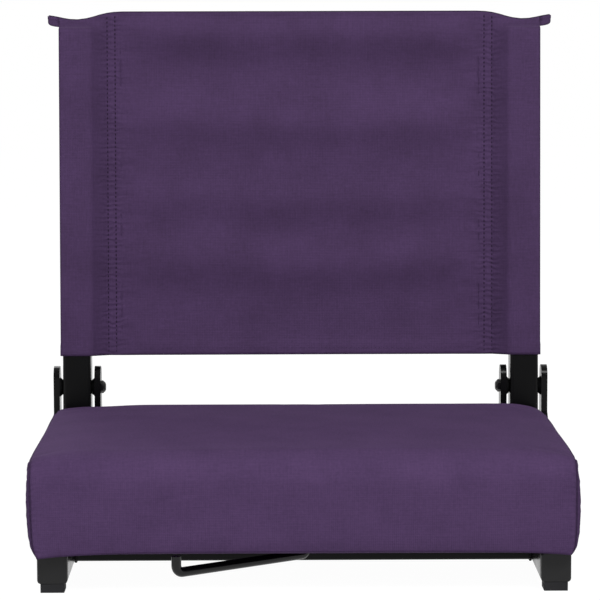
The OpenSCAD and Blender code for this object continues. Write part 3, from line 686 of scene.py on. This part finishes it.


# %% Mark the seams for the canvas, with painted shade along them
def mark(piece, name, values):
    """Stores a value for each point, for the material to read."""
    layer = piece.data.attributes.new(name, "FLOAT", "POINT")
    layer.data.foreach_set("value", np.asarray(values, dtype=np.float32))


places = points_of(seat)
unstretched = places[:, 0] + stretch_at(places[:, 0], places[:, 2])
seam_gap = np.abs(np.abs(unstretched) + tuck_at(places[:, 2]) - SEAM_X)
# painted shade: this darkens the canvas colour along the seams, as the shade that lies in the groove
mark(seat, "seam", 0.6 * bell(seam_gap, 0.8 * MM))
mark(seat, "gather", 0.35 * bell(seam_gap, 6 * MM))
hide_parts("seat_cover", "seat_foam")
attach(seat, "base")
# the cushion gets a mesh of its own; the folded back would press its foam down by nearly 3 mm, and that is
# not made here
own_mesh(seat)

# %% [markdown]
# ## The fabric back
#
# The back is one strip of canvas. Its ends wrap around the two uprights and are sewn down behind the
# panel with two rows of stitches each, which makes a sleeve. The uprights stretch it, so it is flat
# across but sags into shallow level folds, and the sleeves are sewn shut over the tops of the uprights,
# where the corners stick out as small ears. It is made the way that it is sewn: one long cross-section is
# followed from hem to hem at each height, and a Solidify modifier gives the cloth its thickness.

# %% Sizes of the fabric back
CLOTH = 1.1 * MM
LAYER = 1.02 * CLOTH  # how far two layers that lie on each other stand apart
tube = 25 * MM
half = 0.5 * tube + 0.5 * MM + 0.5 * CLOTH  # from the middle of an upright to that of the cloth round it
outer_row, inner_row = 172.2 * MM, 164.6 * MM  # the rows of stitches
hem_z, panel_z = 28.5 * MM, 335 * MM  # heights over the pivot, along the upright
box_top = 319.5 * MM  # from here on the sleeve closes over the upright
ear_low, ear = 323 * MM, 10.2 * MM

# %% Level folds of the panel
# each fold: its height over the pivot and its half height, in millimetres, and the slope of the cloth there
FOLDS = [(50, 30, 0.13), (64, 12, -0.05), (98, 16, -0.19), (125, 13, 0.19), (157, 14, -0.15), (179, 11, 0.11)]
FOLDS += [(228, 17, -0.29), (264, 33, 0.51), (297, 47, -0.46), (326, 12, 0.48)]
FOLD_DEPTH, PUCKER_DEPTH = 1.4, 0.42 * MM  # the first is a share of the depth that the slopes give
table_z = np.linspace(hem_z, panel_z, 700)
slope = sum(lean * bell(table_z - height * MM, wide * MM) for height, wide, lean in FOLDS)
slope -= slope.mean()
table_y = np.cumsum(slope) * (table_z[1] - table_z[0])
print("level folds reach from", (table_y.min() / MM).round(2), "to", (table_y.max() / MM).round(2), "mm")


def rise_over(distance, way):
    """0 at no distance, rising to 1 at the end of the way."""
    return np.clip(distance / way, 0, 1)


def level_fold(x, z):
    """How far the panel lies behind its plane."""
    fade = rise_over(inner_row - np.abs(x), 36 * MM) ** 0.7
    ends = rise_over(z - hem_z, 14 * MM) * rise_over(panel_z - z, 8 * MM)
    slide = 2 * MM * np.sin(x / 0.07 + 1.1) + 1 * MM * np.sin(x / 0.031 + z / 0.09)
    return FOLD_DEPTH * np.interp(z + slide, table_z, table_y) * fade * ends


def seam_pucker(x, z):
    """Small folds that start at the stitches and fade into the panel."""
    from_row = inner_row - np.abs(x)
    near = (1 - rise_over(from_row, 32 * MM)) * rise_over(from_row, 3 * MM)
    ripple = np.sin(z / (14.7 * MM) * 2 * math.pi + x / 0.02) + 0.7 * np.sin(z / (9.1 * MM) * 2 * math.pi + 2)
    return PUCKER_DEPTH * ripple * near * rise_over(panel_z - z, 20 * MM)


# %% Cross-section of the strip at one height
RAMP_STEPS, FACE_STEPS = 7, 8


def sleeve_section(flat, tongue, sag):
    """Points (x, y) of the right sleeve, from the hem behind the panel, round the upright, to the front row.

    flat goes from 0, round the upright, to 1, pressed flat. tongue is how far the ear sticks out of the side.
    sag pushes the faces in between the edges.
    """
    edge = post_x + half + 0.4 * MM
    thin = 0.55 * CLOTH
    deep = half + flat * (thin - half)
    corner = 2.6 * MM * (1 - flat)
    left = post_x - half + 3 * MM * flat
    back = [(inner_row - 5 * MM, LAYER), (inner_row, LAYER), (outer_row, LAYER)]
    ramp, face, turn_points = [], [], []
    for k in range(1, RAMP_STEPS):
        share = k / RAMP_STEPS
        ramp.append((outer_row + (left - outer_row) * share, LAYER + (deep - LAYER) * share**1.15))
    for k in range(FACE_STEPS + 1):
        share = k / FACE_STEPS
        face.append((left + (edge - corner - left) * share, deep - sag * math.sin(math.pi * share)))
    for degrees in (22.5, 45, 67.5, 90):
        a = math.radians(degrees)
        turn_points.append((edge - corner + corner * math.sin(a), deep - corner + corner * math.cos(a)))
    # where there is an ear, the outer side is pinched together and drawn out to its tip
    pressed = min(1.0, tongue / (1.5 * MM))
    outer_side = []
    for share, out in ((0.6, 0.0), (0.3, 0.0), (0.15, 0.45), (0.06, 0.92), (0.0, 1.0)):
        plain = (deep - corner) * share
        held = 0.0 if share == 0 else min(thin, deep)
        if out == 0 and share == 0.6:
            y = max(plain, held * pressed)
        else:
            y = plain + (held - plain) * pressed
        outer_side.append((edge + out * tongue, y))
    round_back = back + ramp + face + turn_points + outer_side
    round_front = [(x, -y) for x, y in reversed(round_back[3:-1])]
    ending = [(outer_row, 0.0), (0.5 * (outer_row + inner_row), 0.0), (inner_row, 0.0)]
    return np.array(round_back + round_front + ending)


panel_x = np.linspace(inner_row, -inner_row, 76)[1:-1]
sleeve_count = len(sleeve_section(0, 0, 0))


def top_at(x):
    """Height of the top edge: level over the panel, a dip over each upright and a rise to the ear."""
    # how far out from the middle, and how much lower the edge is there
    knots = np.array([0, 158, 166, 172, 178, 184, 190, 198, 205, 211, 217, 223, 230]) * MM
    drops = np.array([0, 0, 0.4, 1.2, 2.6, 4.4, 5.9, 6.9, 6.6, 5.6, 4.3, 3.3, 2.6]) * MM
    return panel_z - np.interp(np.abs(x), knots, drops)


# %% All rows of the strip
EAR_RISE, SAG = 4 * MM, 0.5 * MM


def strip_at(share, closing, flat):
    """Points (x, y, z) of a whole row. share is its height, and closing how far its sleeve end is shut."""
    ear_height = box_top + closing * (float(top_at(post_x + half + ear)) - box_top) - ear_low
    rise = min(1.0, max(0.0, ear_height / EAR_RISE))
    right = sleeve_section(flat, ear * (1 - (1 - rise) ** 3) ** (1 / 3), SAG * (1 - flat))
    panel = np.column_stack([panel_x, np.zeros(len(panel_x))])
    plan = np.concatenate([right, panel, (right * [-1, 1])[::-1]])
    low = hem_z + share * (box_top - hem_z)
    z = low + closing * (top_at(plan[:, 0]) - box_top)
    y = plan[:, 1].copy()
    on_panel = slice(sleeve_count, sleeve_count + len(panel_x))
    y[on_panel] += level_fold(plan[on_panel, 0], z[on_panel]) + seam_pucker(plan[on_panel, 0], z[on_panel])
    return np.column_stack([plan[:, 0], y, z])


OPEN_ROWS, CLOSING_ROWS = 98, 20
rows = [strip_at(k / OPEN_ROWS, 0, 0) for k in range(OPEN_ROWS + 1)]
for k in range(1, CLOSING_ROWS + 1):
    closing = k / CLOSING_ROWS
    rows.append(strip_at(1, closing, 1 - (1 - closing) ** 2.2))
grid = np.array(rows)
print("fabric back:", grid.shape[0], "rows of", grid.shape[1], "points")


# %% Build the strip and lean it back
def lean_back(places):
    """From heights over the pivot on an upright that stands plumb to the row frame."""
    made = np.array(places, dtype=float).copy()
    y, z = made[..., 1].copy(), made[..., 2].copy()
    made[..., 1] = pivot[1] + y * math.cos(LEAN) + z * math.sin(LEAN)
    made[..., 2] = pivot[2] - y * math.sin(LEAN) + z * math.cos(LEAN)
    return made


tall, wide = grid.shape[:2]
faces = join_rows(tall, wide, closed=False, flipped=True)
sling = mesh_object("fabric_back", lean_back(grid).reshape(-1, 3), faces, back_canvas)
uv_layer = sling.data.uv_layers.new(name="cloth")
first_row = grid[0]
run_along = np.concatenate([[0], np.cumsum(np.linalg.norm(np.diff(first_row[:, :2], axis=0), axis=1))])
flat_grid = grid.reshape(-1, 3)
for polygon in sling.data.polygons:
    for loop in polygon.loop_indices:
        vertex = sling.data.loops[loop].vertex_index
        uv_layer.data[loop].uv = (run_along[vertex % wide], flat_grid[vertex][2])

# %% Thickness of the cloth, double at the hems
DOUBLED, SINGLE_SHARE = 1.25 * CLOTH, 0.62
LOW_HEM, TOP_HEM = 9 * MM, 3 * MM
hems = sling.vertex_groups.new(name="hems")
for number, (x, y, z) in enumerate(flat_grid):
    at_hem = z < hem_z + LOW_HEM or z > float(top_at(x)) - TOP_HEM
    hems.add([number], 1.0 if at_hem else SINGLE_SHARE, "REPLACE")
thick = sling.modifiers.new("thickness", "SOLIDIFY")
thick.thickness = DOUBLED
thick.offset = 0
thick.vertex_group = "hems"
apply_modifiers(sling)
sling.vertex_groups.clear()
row_gap = np.abs(np.abs(points_of(sling)[:, 0]) - 0.5 * (outer_row + inner_row))
mark(sling, "gather", 0.85 * bell(row_gap, 10 * MM))
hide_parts("back_sling")
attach(sling, "back")

# %% [markdown]
# ## Stitches
#
# Two rows of lockstitch run up beside each sleeve and one runs along the bottom hem. A stitch is a short
# loop of thread that dips into the cloth at both ends. Each row is a line that lies on the cloth, and
# Geometry Nodes set a small rounded bead on it at every 3.7 mm. The same tree makes the ripples of the
# welds further down.


# %% Node tree that sets beads along a line
STITCH_PITCH, STITCH, BEAD = 3.7 * MM, 2.3 * MM, 0.52 * MM


def bead_tree():
    """Geometry Nodes group that sets a stretched ball on a line at every pitch."""
    tree = bpy.data.node_groups.new("beads_along_a_line", "GeometryNodeTree")
    tree.interface.new_socket("Line", in_out="INPUT", socket_type="NodeSocketGeometry")
    for name, value in (("Pitch", STITCH_PITCH), ("Length", STITCH), ("Thickness", BEAD)):
        socket = tree.interface.new_socket(name, in_out="INPUT", socket_type="NodeSocketFloat")
        socket.default_value = value
    tree.interface.new_socket("Material", in_out="INPUT", socket_type="NodeSocketMaterial")
    tree.interface.new_socket("Beads", in_out="OUTPUT", socket_type="NodeSocketGeometry")
    given = add(tree, "NodeGroupInput")
    curve = add(tree, "GeometryNodeMeshToCurve", {"Mesh": given.outputs["Line"]})
    spacing = {"Curve": curve.outputs[0], "Length": given.outputs["Pitch"]}
    dots = add(tree, "GeometryNodeCurveToPoints", spacing, mode="LENGTH")
    ball = add(tree, "GeometryNodeMeshUVSphere", {"Segments": 6, "Rings": 4, "Radius": 1.0})
    thick = given.outputs["Thickness"]
    long = add(tree, "ShaderNodeMath", {0: given.outputs["Length"], 1: 0.5}, operation="MULTIPLY")
    size = add(tree, "ShaderNodeCombineXYZ", {"X": thick, "Y": thick, "Z": long.outputs[0]})
    placed = add(
        tree,
        "GeometryNodeInstanceOnPoints",
        {
            "Points": dots.outputs["Points"],
            "Instance": ball.outputs["Mesh"],
            "Rotation": dots.outputs["Rotation"],
            "Scale": size.outputs[0],
        },
    )
    real = add(tree, "GeometryNodeRealizeInstances", {"Geometry": placed.outputs[0]})
    smooth = add(tree, "GeometryNodeSetShadeSmooth", {"Geometry": real.outputs[0]})
    paint_on = {"Geometry": smooth.outputs[0], "Material": given.outputs["Material"]}
    coloured = add(tree, "GeometryNodeSetMaterial", paint_on)
    add(tree, "NodeGroupOutput", {"Beads": coloured.outputs[0]})
    return tree


BEADS = bead_tree()


def sew(name, lines, pitch, length, thickness, body, material):
    """Mesh of beads along lines, each a list of points in the row frame."""
    points = [p for line in lines for p in line]
    edges, start = [], 0
    for line in lines:
        edges += [(start + k, start + k + 1) for k in range(len(line) - 1)]
        start += len(line)
    mesh = bpy.data.meshes.new(name)
    mesh.from_pydata([tuple(p) for p in points], edges, [])
    row = bpy.data.objects.new(name, mesh)
    scene.collection.objects.link(row)
    made = row.modifiers.new("beads", "NODES")
    made.node_group = BEADS
    values = {"Pitch": pitch, "Length": length, "Thickness": thickness, "Material": material}
    for item in BEADS.interface.items_tree:
        if item.in_out == "INPUT" and item.name in values:
            made[item.identifier] = values[item.name]
    apply_modifiers(row)
    print(name, len(row.data.polygons), "faces")
    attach(row, body)
    return row


# %% Sew the fabric back
def on_front(x, z):
    """Place on the front of the panel, plumb."""
    return (x, float(level_fold(x, z) + seam_pucker(x, z)) - 0.42 * CLOTH, z)


lines = []
inset = 0.3 * MM
for x in (-outer_row + inset, -inner_row - inset, inner_row + inset, outer_row - inset):
    heights = np.linspace(hem_z + 4 * MM, float(top_at(x)) - 4 * MM, 120)
    lines.append(lean_back([(x, -0.46 * CLOTH, z) for z in heights]))
back_stitches = sew("back_stitches", lines, STITCH_PITCH, STITCH, BEAD, "back", thread_purple)
hem_line = np.linspace(-inner_row, inner_row, 150)
hem_row = lean_back([on_front(x, hem_z + 6 * MM) for x in hem_line])
hem_stitches = sew("hem_stitches", [hem_row], STITCH_PITCH, 2.6 * MM, 0.3 * MM, "back", thread_purple)


# %% A cord along a path
def cord_along(name, path, radius, material, beside=(0, 1, 0), sides=8):
    """Round cord with closed ends along a list of points. beside is a direction that the path never takes."""
    path = [Vector(p) for p in path]
    made_points = []
    for number, place in enumerate(path):
        ahead = (path[min(number + 1, len(path) - 1)] - path[max(number - 1, 0)]).normalized()
        first = ahead.cross(Vector(beside)).normalized()
        second = ahead.cross(first)
        for k in range(sides):
            angle = 2 * math.pi * k / sides
            made_points.append(place + radius * (math.cos(angle) * first + math.sin(angle) * second))
    made_faces = join_rows(len(path), sides)
    made_faces.append(tuple(range(sides)))
    made_faces.append(tuple(range(len(made_points) - 1, len(made_points) - 1 - sides, -1)))
    return mesh_object(name, made_points, made_faces, material)


# %% Overlocked top edge
tip_x = post_x + half + ear
edge_path = [(x, 0, float(top_at(x)) + 0.1 * MM) for x in np.linspace(-tip_x, tip_x, 241)]
top_edge = cord_along("back_top_edge", lean_back(edge_path), 0.75 * MM, thread_purple)
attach(top_edge, "back")

# %% [markdown]
# ## The spring of the hook
#
# Inside the cushion a compression spring lifts the hook into its guide. It is wound from hard round wire,
# with its first and last three quarters of a turn laid flat, so that it stands square. Pulling the hook
# down closes it.

# %% Wind the spring
spring_low, spring_high = (np.array(corner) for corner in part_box("hook_spring"))
WIRE, TURNS, FLAT_TURNS = 1.2 * MM, 7, 0.75
TURN_STEPS = 24
coil_radius = 0.5 * (spring_high[0] - spring_low[0] - WIRE)
coil_path = []
for turned in np.linspace(0, TURNS, TURN_STEPS * TURNS + 1):
    angle = 2 * math.pi * turned
    risen = min(1.0, max(0.0, (turned - FLAT_TURNS) / (TURNS - 2 * FLAT_TURNS)))
    z = spring_low[2] + 0.5 * WIRE + risen * (spring_high[2] - spring_low[2] - WIRE)
    x, y = hook_axis[0] + coil_radius * math.cos(angle), hook_axis[1] + coil_radius * math.sin(angle)
    coil_path.append((x, y, z))
coil = cord_along("hook_spring_coil", coil_path, 0.5 * WIRE, zinc, beside=(0, 0, 1))
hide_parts("hook_spring")
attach(coil, "base")
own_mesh(coil)

# %% [markdown]
# ## Welds
#
# The frame is welded where a cross tube meets a rail and where a bracket stands on one. The beads of the
# same node tree, thicker and so close that they overlap, make the ripples of a weld. They carry the paint
# of the frame.

# %% Weld the frame
WELD_PITCH, WELD_LENGTH, WELD_THICKNESS = 1.7 * MM, 3.6 * MM, 1.5 * MM
CORNER = 2 * MM  # a weld stops this far from a corner
END_INSET = 0.4 * MM
weld_lines = []
for name in ("front_cross_tube", "rear_cross_tube"):
    low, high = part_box(name)
    for x in (low[0] + END_INSET, high[0] - END_INSET):
        weld_lines.append([(x, low[1], low[2] + CORNER), (x, low[1], high[2] - CORNER)])
        weld_lines.append([(x, high[1], low[2] + CORNER), (x, high[1], high[2] - CORNER)])
        weld_lines.append([(x, low[1] + CORNER, low[2]), (x, high[1] - CORNER, low[2])])
for side_name in ("left", "right"):
    rail_low, rail_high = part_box("side_rail_" + side_name)
    foot_low, foot_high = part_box("bracket_" + side_name)
    for x in (rail_low[0] - 0.3 * MM, rail_high[0] + 0.3 * MM):
        height = rail_high[2] - 0.5 * MM
        weld_lines.append([(x, foot_low[1] + CORNER, height), (x, foot_high[1] - CORNER, height)])
frame_welds = sew("frame_welds", weld_lines, WELD_PITCH, WELD_LENGTH, WELD_THICKNESS, "base", powder_coat)

# %% [markdown]
# ## Light and floor
#
# The photograph has plain soft light and a white ground. A pale world lights everything a little, and one
# large soft lamp, high and a little to the right of the camera, models the folds. A weak lamp at the
# left, a weaker one low in front and one behind keep the other sides readable. The floor shines white for
# the camera and for reflections, so that gloss shows the ground, and keeps a faint shadow. For the light
# that it throws back on the chair it is a light grey. Reflections see a white wall behind the chair and a
# dimmer room in front of it, as in a studio.


# %% Lamps
def soft_lamp(name, place, aim, size, watts):
    """Square area lamp that the camera doesn't see."""
    data = bpy.data.lights.new(name, "AREA")
    data.shape = "SQUARE"
    data.size = size
    data.energy = watts
    lamp = bpy.data.objects.new(name, data)
    scene.collection.objects.link(lamp)
    lamp.location = place
    lamp.rotation_euler = (Vector(aim) - Vector(place)).to_track_quat("-Z", "Y").to_euler()
    lamp.visible_camera = False
    return lamp


soft_lamp("lamp_key", (0.75, -1.85, 2.1), (0, 0, 0.2), 0.9, 47)
soft_lamp("lamp_fill", (-1.6, -1.4, 0.9), (0, 0, 0.25), 1.2, 11)
soft_lamp("lamp_low", (0.2, -1.9, 0.3), (0, 0, 0.12), 0.5, 3).visible_glossy = False
soft_lamp("lamp_behind", (-0.4, 1.9, 1.8), (0, 0, 0.2), 1.2, 25)


# %% Rays that see the white ground
WHITE, LIGHT_GREY, OFF_WHITE = colour("#ffffff"), colour("#c4c4c4"), colour("#f4f4f4")


def white_rays(tree):
    """Light Path node, and a value that is 1 for rays of the camera, off gloss and through glass."""
    path = add(tree, "ShaderNodeLightPath")
    value = path.outputs["Is Camera Ray"]
    for ray in ("Is Glossy Ray", "Is Transmission Ray"):
        value = add(tree, "ShaderNodeMath", {0: value, 1: path.outputs[ray]}, operation="MAXIMUM").outputs[0]
    return path, value


# %% World
AMBIENT, DIM_ROOM = 0.3, 0.35  # the light of the world, and what reflections see in front of the chair
world = bpy.data.worlds.new("studio")
scene.world = world
world.use_nodes = True
tree = world.node_tree
tree.nodes.clear()
path, seen = white_rays(tree)
lit = add(tree, "ShaderNodeBackground", {"Color": WHITE, "Strength": AMBIENT})
direction = add(tree, "ShaderNodeTexCoord")
parts = add(tree, "ShaderNodeSeparateXYZ", {0: direction.outputs["Generated"]})
towards_back = {"Value": parts.outputs["Y"], "From Min": -0.5, "From Max": 0.2, "To Min": DIM_ROOM}
strength = add(tree, "ShaderNodeMapRange", towards_back).outputs[0]
for ray in ("Is Camera Ray", "Is Transmission Ray"):
    either = {0: strength, 1: path.outputs[ray]}
    strength = add(tree, "ShaderNodeMath", either, operation="MAXIMUM").outputs[0]
shown = add(tree, "ShaderNodeBackground", {"Color": WHITE, "Strength": strength})
both = add(tree, "ShaderNodeMixShader", {0: seen, 1: lit.outputs[0], 2: shown.outputs[0]})
add(tree, "ShaderNodeOutputWorld", {"Surface": both.outputs[0]})

# %% Floor
REACH, DROP = 6, 0.2 * MM  # it lies a hair under the feet
GLOW, GLOW_SHARE = 1.08, 0.9  # the rest of what the camera sees is lit, and keeps the shadow
floor_material, diffuse = start_material("white_floor", "#f4f4f4", 0.9, Specular_IOR_Level=0.0)
corners = [(-REACH, -REACH, -DROP), (REACH, -REACH, -DROP), (REACH, REACH, -DROP), (-REACH, REACH, -DROP)]
floor = mesh_object("studio_floor", corners, [(0, 1, 2, 3)], floor_material, smooth=False)
tree = floor_material.node_tree
path, seen = white_rays(tree)
greys = {"Factor": path.outputs["Is Diffuse Ray"], "A": OFF_WHITE, "B": LIGHT_GREY}
bounce = add(tree, "ShaderNodeMix", greys, data_type="RGBA")
tree.links.new(bounce.outputs["Result"], diffuse.inputs["Base Color"])
white = add(tree, "ShaderNodeEmission", {"Color": WHITE, "Strength": GLOW})
part = add(tree, "ShaderNodeMath", {0: seen, 1: GLOW_SHARE}, operation="MULTIPLY")
mixed = add(tree, "ShaderNodeMixShader", {0: part.outputs[0], 1: diffuse.outputs[0], 2: white.outputs[0]})
tree.links.new(mixed.outputs[0], tree.nodes["Material Output"].inputs["Surface"])
scene.view_settings.view_transform = "Standard"
